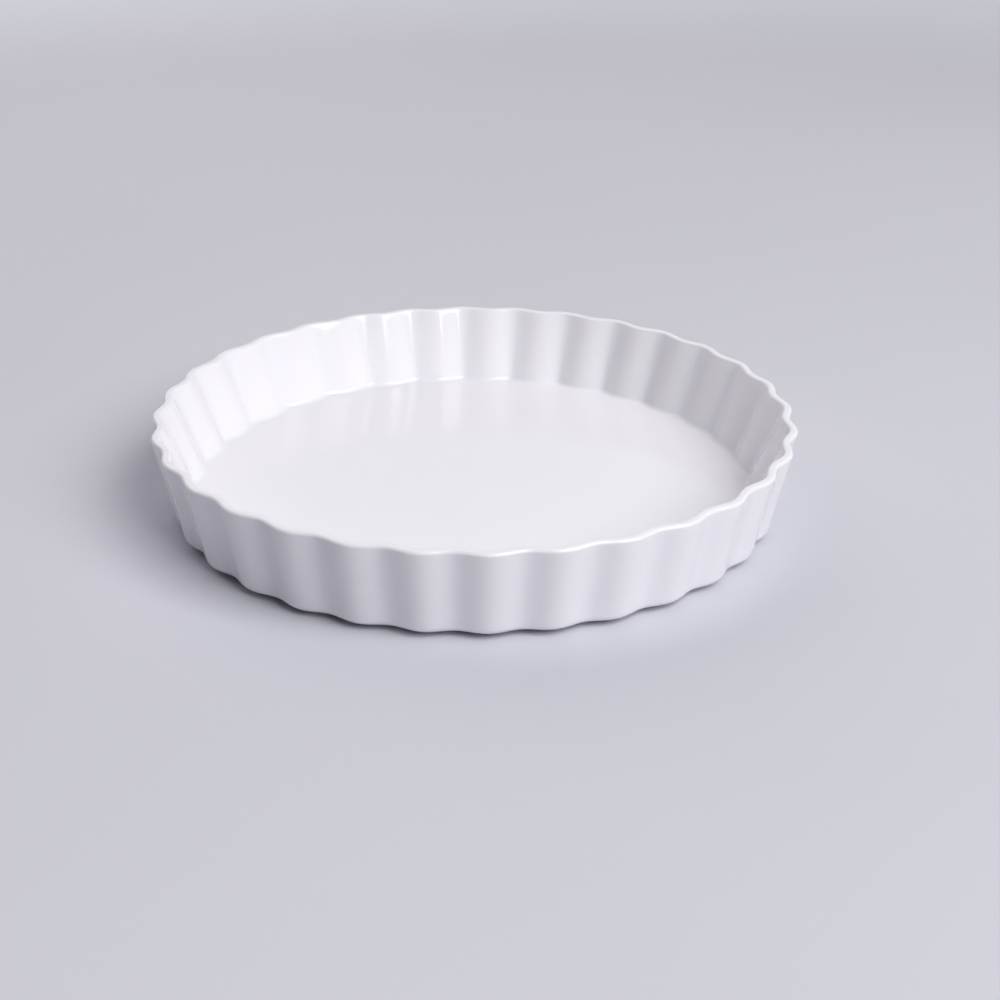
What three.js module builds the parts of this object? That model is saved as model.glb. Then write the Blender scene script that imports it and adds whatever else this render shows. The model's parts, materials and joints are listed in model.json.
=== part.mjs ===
// A fluted porcelain pie dish: low and round with an upright wavy wall, glazed but for its foot ring.
// Millimetres, +Z up. The dish stands on z = 0 and Z is its axis, with a flute crest on +X.

import * as THREE from 'three';
import { mergeVertices } from 'three/addons/utils/BufferGeometryUtils.js';

// Dish, measured over the glaze
const rimDiameter = 265; // across the flute crests at the lip
const dishHeight = 39; // table to the top of the lip
const lipWidth = 3.6; // the wall's thickness at its flat top
const lipEdge = 1.2; // radius of the lip's two edges
const wallDraft = 12; // degrees that the outside of the wall leans out from upright
const insideDraft = 21.5; // the inside leans more, so that the wall thickens towards the floor
const floorThickness = 5.2;
const floorFillet = 2.5; // radius where the inside of the wall runs into the floor
const heelRadius = 4; // radius where the outside of the wall turns under

// Flutes, one even wave round the wall
const fluteCount = 32;
const fluteDepthAtRim = 2.4; // crest to valley
const fluteDepthAtHeel = 2.3;

// Foot ring, the bare band that the dish stands on
const footHeight = 2; // table to the glazed underside
const footWidth = 5;
const footBevel = 0.5;
const footInset = 9; // from the base's sharp corner, at the flutes' mean line, in to the ring

const glazeThickness = 0.3;
const glazeClearance = 0.05; // between the body and its glaze

// Facets
const columnsPerFlute = 6;
const heelSteps = 2;
const lipSteps = 2; // on each of the lip's edges
const filletSteps = 3;
const weldDistance = 1e-4;

const bisque = new THREE.MeshStandardMaterial({ color: 0xe6e0d8, roughness: 0.8, metalness: 0 });
const whiteGlaze = new THREE.MeshStandardMaterial({ color: 0xf1eff4, roughness: 0.12, metalness: 0 });

// The lip is flat between the arcs of its two edges, and a straight face runs down from each of them
const draft = THREE.MathUtils.degToRad(wallDraft);
const insideLean = THREE.MathUtils.degToRad(insideDraft);
const lipOuter = { r: rimDiameter / 2 - fluteDepthAtRim / 2 - lipEdge, z: dishHeight - lipEdge };
const lipInner = { r: lipOuter.r + 2 * lipEdge - lipWidth, z: lipOuter.z };

function outsideAt(z) {
  return lipOuter.r + lipEdge / Math.cos(draft) - (lipOuter.z - z) * Math.tan(draft);
}

function insideAt(z) {
  return lipInner.r - lipEdge / Math.cos(insideLean) - (lipInner.z - z) * Math.tan(insideLean);
}

// The flutes' middle runs along the outside, half the lip's width behind it
function wallMiddleAt(z) {
  return outsideAt(z) - lipWidth / 2 / Math.cos(draft);
}

// The heel's and the floor fillet's arcs touch the wall on one side and a level face on the other
const heelLevel = footHeight + heelRadius;
const heelCentre = {
  r: outsideAt(heelLevel) - heelRadius / Math.cos(draft),
  z: heelLevel,
};
const floorLevel = footHeight + floorThickness;
const filletLevel = floorLevel + floorFillet;
const filletCentre = {
  r: insideAt(filletLevel) - floorFillet / Math.cos(insideLean),
  z: filletLevel,
};

const footOuter = outsideAt(footHeight) - footInset;
const footInner = footOuter - footWidth;

// Points of an arc in section; share is how much of the flutes' depth a point takes, all of it here
function sectionArc(centre, radius, from, to, steps) {
  return Array.from({ length: steps + 1 }, (_, step) => {
    const angle = THREE.MathUtils.lerp(from, to, step / steps);
    return {
      r: centre.r + radius * Math.cos(angle),
      z: centre.z + radius * Math.sin(angle),
      share: 1,
    };
  });
}

// The dish's surface at a depth below its glaze, from the foot ring over the lip to the floor's centre
function dishSurface(depth, footEdge) {
  const outward = -draft;
  const inward = Math.PI - insideLean;
  const up = Math.PI / 2;
  const down = -Math.PI / 2;
  return [
    { r: footEdge, z: footHeight + depth, share: 0 },
    ...sectionArc(heelCentre, heelRadius - depth, down, outward, heelSteps),
    ...sectionArc(lipOuter, lipEdge - depth, outward, up, lipSteps),
    ...sectionArc(lipInner, lipEdge - depth, up, inward, lipSteps),
    ...sectionArc(filletCentre, floorFillet + depth, -insideLean, down, filletSteps),
    { r: 0, z: floorLevel - depth, share: 0 },
  ];
}

// Moves a point of the section onto the flutes: their middle waves in and out round the axis, and
// the point keeps its distance from it, square to the wave, so that both sides follow one wave
function flutedPoint({ r, z, share }, turn) {
  const climb = THREE.MathUtils.clamp((z - footHeight) / (dishHeight - footHeight), 0, 1);
  const reach = (share * THREE.MathUtils.lerp(fluteDepthAtHeel, fluteDepthAtRim, climb)) / 2;
  const middle = wallMiddleAt(z) + reach * Math.cos(fluteCount * turn);
  const lean = Math.atan((-reach * fluteCount * Math.sin(fluteCount * turn)) / middle);
  const offset = r - wallMiddleAt(z);
  const radial = middle + offset * Math.cos(lean);
  const sideways = -offset * Math.sin(lean);
  return [
    radial * Math.cos(turn) - sideways * Math.sin(turn),
    radial * Math.sin(turn) + sideways * Math.cos(turn),
    z,
  ];
}

// Turns a section round the axis, lays each column of points on the flutes, and welds the seam and poles.
// A four-sided facet on the way to a valley folds along the diagonal that climbs with the turn, and one on
// the way to a crest along the other, which is the shorter one, so that the body and its glaze fold alike
function flutedTurning(section) {
  const columns = fluteCount * columnsPerFlute;
  const turning = new THREE.LatheGeometry(section.map(({ r, z }) => new THREE.Vector2(r, z)), columns);
  turning.deleteAttribute('normal');
  turning.deleteAttribute('uv');
  const points = turning.attributes.position;
  for (let index = 0; index < points.count; index += 1) {
    const column = Math.floor(index / section.length) % columns;
    const turn = (column / columns) * 2 * Math.PI;
    points.setXYZ(index, ...flutedPoint(section[index % section.length], turn));
  }
  const welded = mergeVertices(turning, weldDistance);
  const lathed = welded.index.array;
  const rows = section.length - 1;
  const faces = [];
  const addFace = (a, b, c) => {
    if (a !== b && b !== c && c !== a) faces.push(a, b, c);
  };
  for (let facet = 0; facet < columns * rows; facet += 1) {
    // The lathe's two triangles are a, b, d and c, d, b
    const [a, b, d, c] = lathed.slice(facet * 6, facet * 6 + 4);
    const row = facet % rows;
    const toValley = Math.floor(facet / rows) % columnsPerFlute < columnsPerFlute / 2;
    const climbing = section[row + 1].z > section[row].z;
    if (toValley === climbing) {
      addFace(a, b, c);
      addFace(c, d, a);
    } else {
      addFace(a, b, d);
      addFace(c, d, b);
    }
  }
  welded.setIndex(faces);
  welded.computeVertexNormals();
  return welded;
}

function addPiece(dish, name, section, material) {
  const piece = new THREE.Mesh(flutedTurning(section), material);
  piece.name = name;
  dish.add(piece);
}

// The fired body: floor, fluted wall, lip and foot ring in one
const bodyDepth = glazeThickness + glazeClearance;
const bodySection = [
  { r: 0, z: footHeight + bodyDepth, share: 0 },
  { r: footInner, z: footHeight + bodyDepth, share: 0 },
  { r: footInner, z: footBevel, share: 0 },
  { r: footInner + footBevel, z: 0, share: 0 },
  { r: footOuter - footBevel, z: 0, share: 0 },
  { r: footOuter, z: footBevel, share: 0 },
  ...dishSurface(bodyDepth, footOuter),
];

// The glaze that covers the floor, the inside, the lip and the outside, and ends at the foot ring
const coatEdge = footOuter + glazeClearance;
const coatSection = [...dishSurface(glazeThickness, coatEdge).reverse(), ...dishSurface(0, coatEdge)];

// The round of glaze on the underside, inside the foot ring
const undersideEdge = footInner - glazeClearance;
const undersideSection = [
  { r: 0, z: footHeight, share: 0 },
  { r: undersideEdge, z: footHeight, share: 0 },
  { r: undersideEdge, z: footHeight + glazeThickness, share: 0 },
  { r: 0, z: footHeight + glazeThickness, share: 0 },
];

const pieDish = new THREE.Group();
addPiece(pieDish, 'porcelain_body', bodySection, bisque);
addPiece(pieDish, 'glaze_coat', coatSection, whiteGlaze);
addPiece(pieDish, 'underside_glaze', undersideSection, whiteGlaze.clone());

export default pieDish;
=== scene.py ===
import json

import bpy
import numpy as np
from mathutils import Matrix, Vector

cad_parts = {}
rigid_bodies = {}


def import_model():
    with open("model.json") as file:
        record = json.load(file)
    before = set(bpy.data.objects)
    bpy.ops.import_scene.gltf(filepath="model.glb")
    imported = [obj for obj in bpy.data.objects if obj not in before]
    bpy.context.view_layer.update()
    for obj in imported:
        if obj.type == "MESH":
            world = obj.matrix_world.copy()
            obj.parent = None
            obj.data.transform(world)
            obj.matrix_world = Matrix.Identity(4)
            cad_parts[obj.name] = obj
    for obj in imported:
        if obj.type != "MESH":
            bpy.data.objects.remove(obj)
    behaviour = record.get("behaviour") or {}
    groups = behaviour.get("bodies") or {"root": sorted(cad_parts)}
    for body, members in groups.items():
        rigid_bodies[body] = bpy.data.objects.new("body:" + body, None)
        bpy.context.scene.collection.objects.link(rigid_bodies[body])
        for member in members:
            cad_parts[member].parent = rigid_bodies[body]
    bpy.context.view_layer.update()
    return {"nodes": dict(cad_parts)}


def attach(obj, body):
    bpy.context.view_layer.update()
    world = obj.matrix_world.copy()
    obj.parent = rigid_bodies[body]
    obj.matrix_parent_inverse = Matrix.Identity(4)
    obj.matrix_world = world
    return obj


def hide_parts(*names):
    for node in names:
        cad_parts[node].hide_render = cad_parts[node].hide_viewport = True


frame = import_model()
print("frame loaded:", ", ".join(sorted(frame["nodes"])))

mm = 0.001  # lengths in the dictionaries are millimetres unless they say metres, angles are degrees

bpy.context.scene.view_settings.view_transform = "Standard"


# Camera: how the dish is seen, and where it sits in a square picture
cameraView = {
    "target": 18.5,  # height of the point on the axis that the camera is aimed at
    "distance": 735.6,
    "azimuth": -2.62,
    "elevation": 23.68,
    "roll": 0.24,
    "lens": 63.18,
    "sensor": 36.0,
    "shift": (0.026, -0.0453),
    "nearest": 10.0,  # nothing closer than this is drawn
}


def addObject(name, data):
    obj = bpy.data.objects.new(name, data)
    bpy.context.scene.collection.objects.link(obj)
    return obj


def directionAt(azimuth, elevation):
    # Out from the axis, at a bearing from the front towards the right and a height above level
    bearing, height = np.radians([azimuth, elevation])
    level = np.cos(height)
    return Vector((np.sin(bearing) * level, -np.cos(bearing) * level, np.sin(height)))


def facingBack(away):
    # The turn of a camera or lamp that stands out in a direction and faces the axis
    return away.to_track_quat("Z", "Y").to_matrix().to_4x4()


def placeCamera(view):
    # The camera stands off its target, looks back at it and rolls about that line
    away = directionAt(view["azimuth"], view["elevation"])
    data = bpy.data.cameras.new("dishCamera")
    data.lens = view["lens"]
    data.sensor_width = view["sensor"]
    data.shift_x, data.shift_y = view["shift"]
    data.clip_start = view["nearest"] * mm
    camera = addObject("dishCamera", data)
    place = Vector((0, 0, view["target"] * mm)) + away * view["distance"] * mm
    roll = Matrix.Rotation(np.radians(view["roll"]), 4, "Z")
    camera.matrix_world = Matrix.Translation(place) @ facingBack(away) @ roll
    bpy.context.scene.camera = camera


placeCamera(cameraView)
print("camera placed")


# Light: a soft lamp to the right of the front, and two broad ones on the left, from behind, for the shade.
# Their distances and sizes are in metres
softLamps = {
    "sideLamp": {
        "azimuth": 44,
        "elevation": 45,
        "distance": 2.6,
        "size": 1.9,
        "power": 73.6,
        "tint": (0.995, 1.0, 1.0),
        "mirrored": True,  # whether the glaze mirrors the lamp's own shape
    },
    "fillLamp": {
        "azimuth": -150,
        "elevation": 32,
        "distance": 2.6,
        "size": 3.2,
        "power": 45.0,
        "tint": (1.0, 0.945, 0.97),
        "mirrored": False,
    },
    "leftLamp": {
        "azimuth": -120,
        "elevation": 32,
        "distance": 2.6,
        "size": 3.2,
        "power": 5.0,
        "tint": (0.8, 0.85, 1.0),
        "mirrored": False,
    },
}
roomLight = {
    "glow": (0.9, 0.9, 1.0),  # what the room sheds on the dish
    "glowStrength": 0.01,
    "seen": (0.88, 0.94, 1.0),  # how the room looks, to the camera and in reflections
    "seenStrength": 0.92,
}


def hangLamp(name, lamp):
    # A square lamp on a sphere round the dish, facing it
    away = directionAt(lamp["azimuth"], lamp["elevation"])
    data = bpy.data.lights.new(name, "AREA")
    data.shape = "SQUARE"
    data.size = lamp["size"]
    data.energy = lamp["power"]
    data.color = lamp["tint"]
    obj = addObject(name, data)
    obj.visible_glossy = lamp["mirrored"]
    obj.matrix_world = Matrix.Translation(away * lamp["distance"]) @ facingBack(away)


def sightRays(tree):
    # 1 for a ray of sight, gloss or glass, and 0 for one that carries light on
    path = tree.nodes.new("ShaderNodeLightPath")
    total = path.outputs["Is Camera Ray"]
    for kind in ("Is Glossy Ray", "Is Transmission Ray"):
        adder = tree.nodes.new("ShaderNodeMath")
        adder.use_clamp = True
        tree.links.new(total, adder.inputs[0])
        tree.links.new(path.outputs[kind], adder.inputs[1])
        total = adder.outputs[0]
    return total


def paintRoom(light):
    # The room glows dimly on the dish, and looks pale where a ray of sight, gloss or glass meets it
    room = bpy.data.worlds.new("paleRoom")
    room.use_nodes = True
    nodes, links = room.node_tree.nodes, room.node_tree.links
    glow, seen = nodes["Background"], nodes.new("ShaderNodeBackground")
    for background, kind in ((glow, "glow"), (seen, "seen")):
        background.inputs["Color"].default_value = (*light[kind], 1)
        background.inputs["Strength"].default_value = light[kind + "Strength"]
    choose = nodes.new("ShaderNodeMixShader")
    links.new(sightRays(room.node_tree), choose.inputs[0])
    links.new(glow.outputs[0], choose.inputs[1])
    links.new(seen.outputs[0], choose.inputs[2])
    links.new(choose.outputs[0], nodes["World Output"].inputs["Surface"])
    bpy.context.scene.world = room


for lampName, lamp in softLamps.items():
    hangLamp(lampName, lamp)
paintRoom(roomLight)
print("lamps hung:", ", ".join(softLamps))


# Materials: each is a shader with colour, roughness and bump worked out from noise on Object coordinates
def addNode(tree, kind, **sockets):
    node = tree.nodes.new(kind)
    for socket, value in sockets.items():
        node.inputs[socket.replace("_", " ")].default_value = value
    return node


def newMaterial(name):
    material = bpy.data.materials.new(name)
    material.use_nodes = True
    tree = material.node_tree
    coordinates = tree.nodes.new("ShaderNodeTexCoord").outputs["Object"]
    return material, tree, tree.nodes["Principled BSDF"], coordinates


def noiseOn(tree, coordinates, scale, detail=2.0):
    noise = addNode(tree, "ShaderNodeTexNoise", Scale=scale, Detail=detail)
    tree.links.new(coordinates, noise.inputs["Vector"])
    return noise.outputs["Fac"]


def spread(tree, source, low, high, fromLow=0.3, fromHigh=0.7):
    # Stretches part of a value's range, which is a noise's middle if not given, onto low to high
    spreader = tree.nodes.new("ShaderNodeMapRange")
    for socket, value in zip(("From Min", "From Max", "To Min", "To Max"), (fromLow, fromHigh, low, high)):
        spreader.inputs[socket].default_value = value
    tree.links.new(source, spreader.inputs["Value"])
    return spreader.outputs["Result"]


def mixColours(tree, share, first, second):
    # A mix node has sockets for every kind of value, of which the colour ones are used
    mixer = tree.nodes.new("ShaderNodeMix")
    mixer.data_type = "RGBA"
    sockets = [socket for socket in mixer.inputs if socket.type == "RGBA"]
    for socket, colour in zip(sockets, (first, second)):
        if isinstance(colour, tuple):
            socket.default_value = (*colour, 1)
        else:
            tree.links.new(colour, socket)
    tree.links.new(share, mixer.inputs[0])
    return next(socket for socket in mixer.outputs if socket.type == "RGBA")


def bumpFrom(tree, shader, height, strength, distance):
    bump = addNode(tree, "ShaderNodeBump", Strength=strength, Distance=distance)
    tree.links.new(height, bump.inputs["Height"])
    tree.links.new(bump.outputs["Normal"], shader.inputs["Normal"])


whiteGlaze = {
    "thin": (0.87, 0.845, 0.88),  # where the glaze has drawn thin, on ridges and the lip
    "pooled": (0.845, 0.83, 0.885),  # where it has gathered, in hollows and corners
    "cloud": (0.865, 0.845, 0.885),
    "cloudScale": 22.0,
    "cloudDetail": 3.0,
    "cloudShare": 0.6,
    "roughness": (0.07, 0.12),
    "roughnessScale": 45.0,
    "rippleScale": 130.0,
    "rippleDetail": 1.0,
    "rippleStrength": 0.035,
    "rippleHeight": 0.0004,  # in metres
    "ior": 1.52,
}


def glazeMaterial(name, look):
    # Thin and pooled white by the piece's own pooling value, clouded a little, under a gently rippled gloss
    material, tree, shader, coordinates = newMaterial(name)
    pooling = tree.nodes.new("ShaderNodeAttribute")
    pooling.attribute_name = "pooling"
    body = mixColours(tree, pooling.outputs["Fac"], look["thin"], look["pooled"])
    clouds = noiseOn(tree, coordinates, look["cloudScale"], look["cloudDetail"])
    clouds = spread(tree, clouds, 0.0, look["cloudShare"])
    tree.links.new(mixColours(tree, clouds, body, look["cloud"]), shader.inputs["Base Color"])
    gloss = noiseOn(tree, coordinates, look["roughnessScale"])
    tree.links.new(spread(tree, gloss, *look["roughness"]), shader.inputs["Roughness"])
    ripple = noiseOn(tree, coordinates, look["rippleScale"], look["rippleDetail"])
    bumpFrom(tree, shader, ripple, look["rippleStrength"], look["rippleHeight"])
    shader.inputs["IOR"].default_value = look["ior"]
    return material


bareBisque = {
    "light": (0.80, 0.775, 0.735),
    "dark": (0.68, 0.645, 0.60),
    "grainScale": 1400.0,
    "grainDetail": 3.0,
    "roughness": (0.74, 0.9),
    "grainStrength": 0.35,
    "grainHeight": 0.0002,  # in metres
}


def bisqueMaterial(name, look):
    # Warm, dry and fine-grained
    material, tree, shader, coordinates = newMaterial(name)
    grain = noiseOn(tree, coordinates, look["grainScale"], look["grainDetail"])
    colour = mixColours(tree, spread(tree, grain, 0.0, 1.0), look["light"], look["dark"])
    tree.links.new(colour, shader.inputs["Base Color"])
    tree.links.new(spread(tree, grain, *look["roughness"]), shader.inputs["Roughness"])
    bumpFrom(tree, shader, grain, look["grainStrength"], look["grainHeight"])
    return material


# The dish's form, which the body and both layers of glaze share
dishForm = {
    "rimDiameter": 265.0,  # across the flute crests at the lip
    "height": 39.0,
    "lipWidth": 3.6,
    "lipEdge": 1.2,  # radius of the lip's two edges
    "draft": 12.0,  # lean of the outside
    "insideDraft": 21.5,
    "floor": 5.2,
    "fillet": 2.5,
    "heel": 4.0,
    "flutes": 32,
    "fluteAtRim": 2.4,  # crest to valley
    "fluteAtHeel": 2.3,
    "footHeight": 2.0,
    "footWidth": 5.0,
    "footInset": 9.0,
    "glaze": 0.3,
    "clearance": 0.05,
}

draft, insideDraft = np.radians([dishForm["draft"], dishForm["insideDraft"]])
lipEdge, lipLevel = dishForm["lipEdge"], dishForm["height"] - dishForm["lipEdge"]
lipOuter = (dishForm["rimDiameter"] / 2 - dishForm["fluteAtRim"] / 2 - lipEdge, lipLevel)
lipInner = (lipOuter[0] + 2 * lipEdge - dishForm["lipWidth"], lipLevel)
floorLevel = dishForm["footHeight"] + dishForm["floor"]


def outsideAt(z):
    # A straight line in section, down from the lip's outer edge
    return lipOuter[0] + lipEdge / np.cos(draft) - (lipLevel - z) * np.tan(draft)


def insideAt(z):
    # A straight line in section, down from the lip's inner edge
    return lipInner[0] - lipEdge / np.cos(insideDraft) - (lipLevel - z) * np.tan(insideDraft)


def wallMiddle(z):
    # The flutes' middle runs along the outside, half the lip's width behind it
    return outsideAt(z) - dishForm["lipWidth"] / 2 / np.cos(draft)


heelLevel = dishForm["footHeight"] + dishForm["heel"]
heelCentre = (outsideAt(heelLevel) - dishForm["heel"] / np.cos(draft), heelLevel)
filletLevel = floorLevel + dishForm["fillet"]
filletCentre = (insideAt(filletLevel) - dishForm["fillet"] / np.cos(insideDraft), filletLevel)
footOuter = outsideAt(dishForm["footHeight"]) - dishForm["footInset"]
footInner = footOuter - dishForm["footWidth"]


def arc(centre, radius, start, end, count):
    # Points of a circle in section, from one angle to the other, as radius and height
    angle = np.radians(np.linspace(start, end, count))
    return np.stack([centre[0] + radius * np.cos(angle), centre[1] + radius * np.sin(angle)], axis=1)


def joinRuns(parts):
    # A run's last point is also the next one's first, so only the last run keeps it
    return np.concatenate([part[:-1] for part in parts[:-1]] + [parts[-1]])


def line(start, end, count, crowd=1.0):
    # Points of a straight line in section, crowded towards its start
    along = np.linspace(0, 1, count)[:, None] ** crowd
    return (1 - along) * np.array(start) + along * np.array(end)


# How much glaze gathers along the section, from 0 where it draws thin to 1 where it pools
gatherAlong = {
    "under": 0.7,
    "heel": 0.6,
    "outer": 0.35,
    "lip": 0.0,
    "inner": 0.35,
    "fillet": 0.9,
    "floor": 0.5,
}

# How fast the flutes die away under the dish and on its floor, and how rows crowd at the floor's edge
fluteFade = {"under": 2, "floor": 8, "crowd": 1.6}


def dishSkin(depth, footEdge, steps):
    # The dish's section at a depth below its glaze, from the foot ring over the lip to the floor's centre,
    # with each point's share of the flutes' depth and how much glaze gathers there
    outward, inward = -dishForm["draft"], 180 - dishForm["insideDraft"]
    heel = arc(heelCentre, dishForm["heel"] - depth, -90, outward, steps["heel"])
    outerEdge = arc(lipOuter, lipEdge - depth, outward, 90, steps["lipEdge"])
    innerEdge = arc(lipInner, lipEdge - depth, 90, inward, steps["lipEdge"])
    lip = np.concatenate([outerEdge, innerEdge])
    fillet = arc(filletCentre, dishForm["fillet"] + depth, -dishForm["insideDraft"], -90, steps["fillet"])
    runs = {
        "under": line((footEdge, dishForm["footHeight"] + depth), heel[0], steps["under"]),
        "heel": heel,
        "outer": line(heel[-1], lip[0], steps["wall"]),
        "lip": lip,
        "inner": line(lip[-1], fillet[0], steps["wall"]),
        "fillet": fillet,
        "floor": line(fillet[-1], (0, floorLevel - depth), steps["floor"], fluteFade["crowd"]),
    }
    share = {run: np.ones(len(points)) for run, points in runs.items()}
    share["under"] = np.linspace(0, 1, len(runs["under"])) ** fluteFade["under"]
    share["floor"] = (runs["floor"][:, 0] / fillet[-1, 0]) ** fluteFade["floor"]
    gathered = {run: np.full(len(points), gatherAlong[run]) for run, points in runs.items()}
    return tuple(joinRuns(list(parts.values())) for parts in (runs, share, gathered))


def turnsOf(columns):
    return np.arange(columns) * 2 * np.pi / columns


def flutedGrid(section, share, columns):
    # Each point turns round the axis. The wall's middle waves in and out by half the flutes' depth,
    # and the point keeps its distance from it, square to the wave
    turn = turnsOf(columns)
    r, z = section[:, :1], section[:, 1:]
    climb = np.clip((z - dishForm["footHeight"]) / (dishForm["height"] - dishForm["footHeight"]), 0, 1)
    depth = dishForm["fluteAtHeel"] + (dishForm["fluteAtRim"] - dishForm["fluteAtHeel"]) * climb
    reach = share[:, None] * depth / 2
    wave = dishForm["flutes"] * turn
    middle = wallMiddle(z) + reach * np.cos(wave)
    lean = np.arctan(-reach * dishForm["flutes"] * np.sin(wave) / middle)
    offset = r - wallMiddle(z)
    radial = middle + offset * np.cos(lean)
    sideways = -offset * np.sin(lean)
    x = radial * np.cos(turn) - sideways * np.sin(turn)
    y = radial * np.sin(turn) + sideways * np.cos(turn)
    return np.stack([x, y, np.broadcast_to(z, x.shape)], axis=2)


def closedTurning(name, grid, pooling, material):
    # The columns wrap round, and the first and last rows lie on the axis, so each of those is one point
    rows, columns = grid.shape[:2]
    points = np.concatenate([grid[0, :1], grid[1:-1].reshape(-1, 3), grid[-1, :1]]) * mm
    values = np.concatenate([pooling[0, :1], pooling[1:-1].ravel(), pooling[-1, :1]])
    index = 1 + np.arange((rows - 2) * columns).reshape(rows - 2, columns)
    following = np.roll(index, -1, axis=1)
    quads = np.stack([index[:-1], following[:-1], following[1:], index[1:]], axis=2).reshape(-1, 4)
    first, last = np.zeros(columns, int), np.full(columns, len(points) - 1)
    firstCap = np.stack([first, following[0], index[0]], axis=1)
    lastCap = np.stack([index[-1], following[-1], last], axis=1)
    mesh = bpy.data.meshes.new(name)
    mesh.from_pydata(points, [], quads.tolist() + firstCap.tolist() + lastCap.tolist())
    mesh.polygons.foreach_set("use_smooth", np.ones(len(mesh.polygons), bool))
    attribute = mesh.attributes.new("pooling", "FLOAT", "POINT")
    attribute.data.foreach_set("value", values.astype(np.float32))
    mesh.materials.append(material)
    return addObject(name, mesh)


# Glaze over the floor, the inside, the lip and the outside
coatBuild = {
    "columnsPerFlute": 20,
    "surface": {"under": 6, "heel": 12, "wall": 16, "lipEdge": 10, "fillet": 14, "floor": 18},
    "back": {"under": 3, "heel": 4, "wall": 3, "lipEdge": 4, "fillet": 5, "floor": 4},
    "hollowGather": 0.3,  # how much more glaze lies in the flutes' hollows
}


def makeGlazeCoat(build):
    edge = footOuter + dishForm["clearance"]
    front = dishSkin(0.0, edge, build["surface"])
    back = dishSkin(dishForm["glaze"], edge, build["back"])
    section, share, gathered = (np.concatenate([b[::-1], f]) for b, f in zip(back, front))
    columns = dishForm["flutes"] * build["columnsPerFlute"]
    grid = flutedGrid(section, share, columns)
    # The hollows are the valleys on the outside, and the backs of the crests on the inside
    wave = np.cos(dishForm["flutes"] * turnsOf(columns))
    side = np.sign(section[:, :1] - wallMiddle(section[:, 1:]))
    pooling = np.clip(gathered[:, None] - build["hollowGather"] * share[:, None] * side * wave, 0, 1)
    return closedTurning("glazeCoat", grid, pooling, glazeMaterial("whiteGlaze", whiteGlaze))


glazeCoat = makeGlazeCoat(coatBuild)
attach(glazeCoat, "root")
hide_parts("glaze_coat")
print("glaze coat:", len(glazeCoat.data.polygons), "faces")


# The fired body, which shows at the bare foot ring
bodyBuild = {
    "columnsPerFlute": 12,
    "steps": {"under": 4, "heel": 5, "wall": 5, "lipEdge": 5, "fillet": 6, "floor": 6},
    "footRound": 0.5,
    "footSteps": 5,
    "underSteps": 4,
}


def makeBody(build):
    depth = dishForm["glaze"] + dishForm["clearance"]
    level, rounding, steps = dishForm["footHeight"] + depth, build["footRound"], build["footSteps"]
    ring = np.concatenate([
        line((0, level), (footInner, level), build["underSteps"]),
        arc((footInner + rounding, rounding), rounding, 180, 270, steps),
        arc((footOuter - rounding, rounding), rounding, 270, 360, steps),
    ])
    skin, skinShare, _ = dishSkin(depth, footOuter, build["steps"])
    section = np.concatenate([ring, skin])
    share = np.concatenate([np.zeros(len(ring)), skinShare])
    grid = flutedGrid(section, share, dishForm["flutes"] * build["columnsPerFlute"])
    noPooling = np.zeros(grid.shape[:2])
    return closedTurning("bareBody", grid, noPooling, bisqueMaterial("bareBisque", bareBisque))


bareBody = makeBody(bodyBuild)
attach(bareBody, "root")
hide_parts("porcelain_body")
print("body:", len(bareBody.data.polygons), "faces")


# The round of glaze on the underside, inside the foot ring
undersideBuild = {
    "columns": 192,
    "edgeRound": 0.14,
    "edgeSteps": 5,
    "frontSteps": 8,
    "backSteps": 4,
    "edgeGather": 12,  # how closely the glaze gathers at the edge
}


def makeUnderside(build):
    edge, low = footInner - dishForm["clearance"], dishForm["footHeight"]
    high, rounding = low + dishForm["glaze"], build["edgeRound"]
    section = np.concatenate([
        line((edge - rounding, low), (0, low), build["frontSteps"])[::-1],
        arc((edge - rounding, low + rounding), rounding, -90, 0, build["edgeSteps"])[1:],
        line((edge, high), (0, high), build["backSteps"]),
    ])
    grid = flutedGrid(section, np.zeros(len(section)), build["columns"])
    gathered = np.clip((section[:, :1] / edge) ** build["edgeGather"], 0, 1)
    pooling = np.broadcast_to(gathered, grid.shape[:2])
    return closedTurning("undersideGlaze", grid, pooling, glazeMaterial("undersideGlaze", whiteGlaze))


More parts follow.
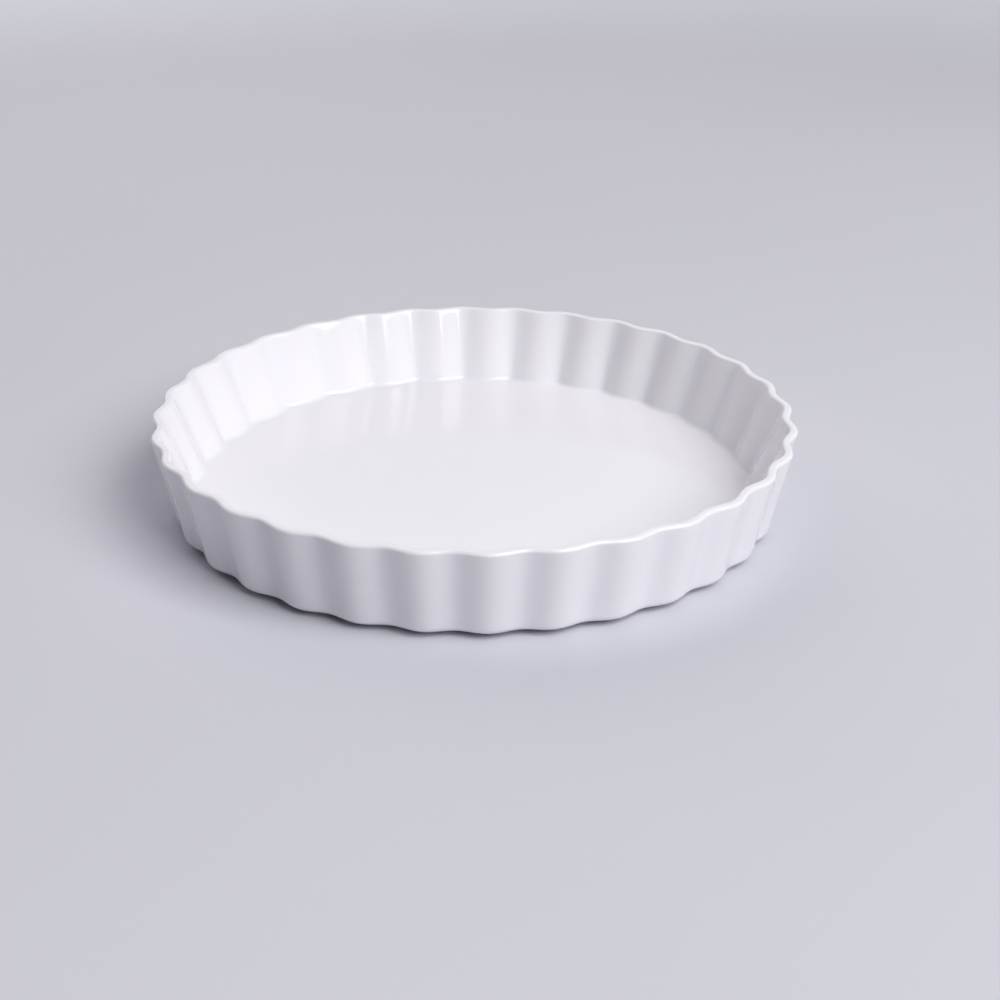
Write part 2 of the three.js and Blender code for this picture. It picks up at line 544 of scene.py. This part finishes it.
undersideGlaze = makeUnderside(undersideBuild)
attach(undersideGlaze, "root")
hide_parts("underside_glaze")
print("underside glaze:", len(undersideGlaze.data.polygons), "faces")


# A plain pale floor, which far from the dish passes into the look of the room
paleFloor = {
    "size": 40.0,  # in metres, like the fade
    "light": (0.635, 0.635, 0.69),
    "dark": (0.62, 0.62, 0.68),
    "cloudScale": 3.0,
    "roughness": 0.7,
    "specular": 0.2,
    "fade": (1.0, 2.6),
}


def fadeFloor(tree, shader, coordinates, fade, light):
    # By distance from the dish, what is seen of the floor turns to the room's colour; its light stays
    distance = tree.nodes.new("ShaderNodeVectorMath")
    distance.operation = "LENGTH"
    tree.links.new(coordinates, distance.inputs[0])
    far = spread(tree, distance.outputs["Value"], 0.0, 1.0, *fade)
    share = tree.nodes.new("ShaderNodeMath")
    share.operation = "MULTIPLY"
    tree.links.new(far, share.inputs[0])
    tree.links.new(sightRays(tree), share.inputs[1])
    glow = addNode(tree, "ShaderNodeEmission", Color=(*light["seen"], 1), Strength=light["seenStrength"])
    choose = tree.nodes.new("ShaderNodeMixShader")
    tree.links.new(share.outputs[0], choose.inputs[0])
    tree.links.new(shader.outputs[0], choose.inputs[1])
    tree.links.new(glow.outputs[0], choose.inputs[2])
    tree.links.new(choose.outputs[0], tree.nodes["Material Output"].inputs["Surface"])


def makeFloor(build):
    half = build["size"] / 2
    corners = np.array([[-half, -half, 0], [half, -half, 0], [half, half, 0], [-half, half, 0]])
    mesh = bpy.data.meshes.new("paleFloor")
    mesh.from_pydata(corners, [], [(0, 1, 2, 3)])
    material, tree, shader, coordinates = newMaterial("paleFloor")
    clouds = spread(tree, noiseOn(tree, coordinates, build["cloudScale"]), 0.0, 1.0)
    tree.links.new(mixColours(tree, clouds, build["light"], build["dark"]), shader.inputs["Base Color"])
    shader.inputs["Roughness"].default_value = build["roughness"]
    shader.inputs["Specular IOR Level"].default_value = build["specular"]
    fadeFloor(tree, shader, coordinates, build["fade"], roomLight)
    mesh.materials.append(material)
    return addObject("paleFloor", mesh)


makeFloor(paleFloor)
print("floor laid")
